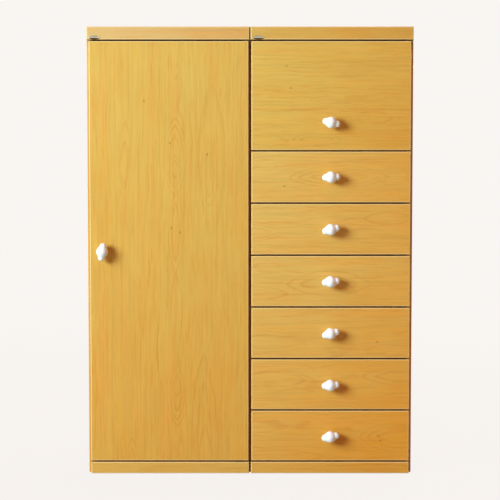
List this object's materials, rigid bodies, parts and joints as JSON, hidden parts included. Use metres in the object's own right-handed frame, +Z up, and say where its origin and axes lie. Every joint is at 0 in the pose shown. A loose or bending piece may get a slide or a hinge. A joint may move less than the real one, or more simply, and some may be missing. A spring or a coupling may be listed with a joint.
{
  "type": "dresser",
  "caption": "Dresser of two joined veneered cabinets: a wardrobe with one full-height door, and a chest with a lift-up flap over drawers, all with white ceramic knobs.",
  "frame": {"origin": "on the floor, under the middle of the overall box of the object with its knobs", "axes": "+X along the front from the wardrobe to the drawers, +Y from the front to the back, +Z up; the cabinets meet at x = 0"},
  "size_m": [1, 0.5594, 1.376],
  "materials": {
    "veneer": "satin lacquered honey-coloured veneer",
    "drawer_wood": "lacquered pale wood",
    "hardboard": "smooth hardboard",
    "ceramic": "white glaze",
    "rail_steel": "chromed steel tube",
    "steel": "zinc-plated steel",
    "bronzed_steel": "bronzed steel",
    "badge_metal": "blank silver-coloured badge"
  },
  "bodies": {
    "carcass": {"wardrobe_left_side": "veneer", "wardrobe_right_side": "veneer", "wardrobe_top": "veneer", "wardrobe_bottom": "veneer", "wardrobe_back": "hardboard", "wardrobe_fascia": "veneer", "wardrobe_plinth": "veneer", "hat_shelf": "veneer", "hanging_rail": "rail_steel", "rail_sockets": "rail_steel", "chest_left_side": "veneer", "chest_right_side": "veneer", "chest_top": "veneer", "chest_bottom": "veneer", "chest_back": "hardboard", "chest_fascia": "veneer", "chest_plinth": "veneer", "chest_divider": "veneer", "drawer_runners": "drawer_wood", "module_connectors": "steel", "cabinet_fittings": "bronzed_steel", "badges": "badge_metal"},
    "door": {"door_panel": "veneer", "door_knob": "ceramic", "door_fittings": "steel"},
    "flap": {"flap_panel": "veneer", "flap_knob": "ceramic", "flap_knob_screw": "steel", "flap_stay_bracket": "steel"},
    "flap_stay": {"flap_stay_arm": "steel"},
    "drawer_1": {"drawer_1_front": "veneer", "drawer_1_box": "drawer_wood", "drawer_1_bottom": "hardboard", "drawer_1_knob": "ceramic", "drawer_1_knob_screw": "steel"},
    "drawer_2": {"drawer_2_front": "veneer", "drawer_2_box": "drawer_wood", "drawer_2_bottom": "hardboard", "drawer_2_knob": "ceramic", "drawer_2_knob_screw": "steel"},
    "drawer_3": {"drawer_3_front": "veneer", "drawer_3_box": "drawer_wood", "drawer_3_bottom": "hardboard", "drawer_3_knob": "ceramic", "drawer_3_knob_screw": "steel"},
    "drawer_4": {"drawer_4_front": "veneer", "drawer_4_box": "drawer_wood", "drawer_4_bottom": "hardboard", "drawer_4_knob": "ceramic", "drawer_4_knob_screw": "steel"},
    "drawer_5": {"drawer_5_front": "veneer", "drawer_5_box": "drawer_wood", "drawer_5_bottom": "hardboard", "drawer_5_knob": "ceramic", "drawer_5_knob_screw": "steel"},
    "drawer_6": {"drawer_6_front": "veneer", "drawer_6_box": "drawer_wood", "drawer_6_bottom": "hardboard", "drawer_6_knob": "ceramic", "drawer_6_knob_screw": "steel"}
  },
  "joints": [
    {"name": "door_hinge", "type": "hinge", "parent": "carcass", "child": "door", "pos_m": [-0.012, -0.23275, 0.686], "axis": [0, 0, 1], "range_deg": [0, 90]},
    {"name": "flap_hinge", "type": "hinge", "parent": "carcass", "child": "flap", "pos_m": [0.248, -0.23275, 1.324], "axis": [-1, 0, 0], "range_deg": [0, 90]},
    {"name": "flap_stay_pivot", "type": "hinge", "parent": "flap", "child": "flap_stay", "pos_m": [0.4765, -0.20925, 1.21654], "axis": [-1, 0, 0], "range_deg": [-45, 0]},
    {"name": "drawer_1_slide", "type": "slide", "parent": "carcass", "child": "drawer_1", "axis": [0, -1, 0], "range_m": [0, 0.32]},
    {"name": "drawer_2_slide", "type": "slide", "parent": "carcass", "child": "drawer_2", "axis": [0, -1, 0], "range_m": [0, 0.32]},
    {"name": "drawer_3_slide", "type": "slide", "parent": "carcass", "child": "drawer_3", "axis": [0, -1, 0], "range_m": [0, 0.32]},
    {"name": "drawer_4_slide", "type": "slide", "parent": "carcass", "child": "drawer_4", "axis": [0, -1, 0], "range_m": [0, 0.32]},
    {"name": "drawer_5_slide", "type": "slide", "parent": "carcass", "child": "drawer_5", "axis": [0, -1, 0], "range_m": [0, 0.32]},
    {"name": "drawer_6_slide", "type": "slide", "parent": "carcass", "child": "drawer_6", "axis": [0, -1, 0], "range_m": [0, 0.32]}
  ],
  "couplings": [
    {"joint": "flap_stay_pivot", "follows": "flap_hinge", "ratio": -0.5}
  ]
}
